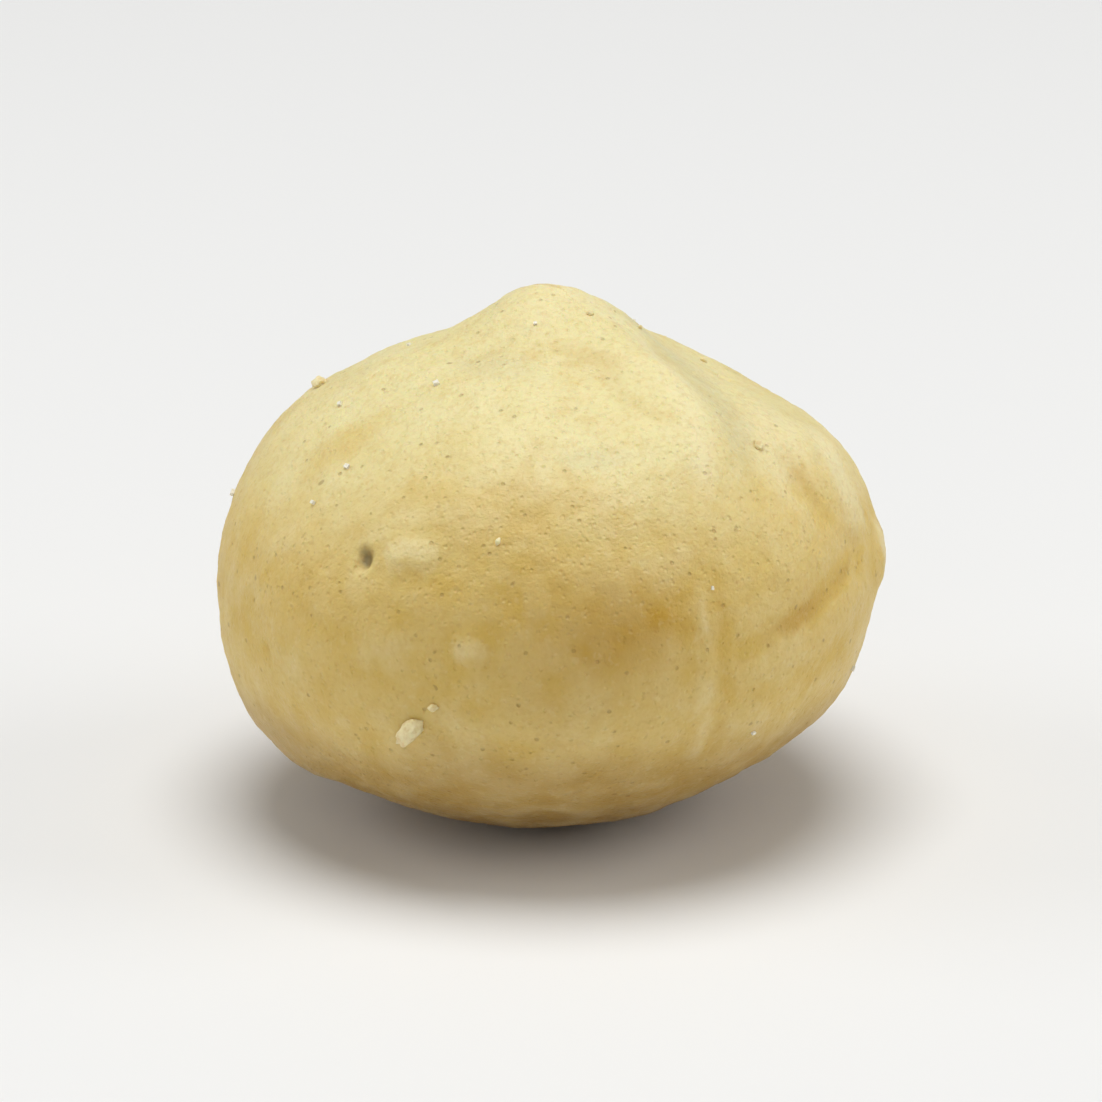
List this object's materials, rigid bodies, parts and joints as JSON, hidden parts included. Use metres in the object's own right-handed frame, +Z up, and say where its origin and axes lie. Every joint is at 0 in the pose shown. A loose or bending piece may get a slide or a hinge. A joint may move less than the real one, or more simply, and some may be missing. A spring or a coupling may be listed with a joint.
{
  "type": "shelled macadamia kernel",
  "caption": "Whole roasted macadamia kernel out of its shell: a lumpy, slightly flattened ball with a low tip on top, resting on a small flat spot.",
  "frame": {"origin": "on the surface the kernel rests on, under the middle of its outline seen from above", "axes": "+X along the kernel's longest width, to the right as seen from the front; +Y to the back; +Z up, from the flat spot to the tip, along its shortest extent"},
  "size_m": [0.018, 0.0172, 0.0142],
  "materials": {
    "kernel_flesh": "satin",
    "salt_crumb": "satin"
  },
  "bodies": {
    "root": {"macadamia_kernel": "kernel_flesh"}
  },
  "joints": []
}
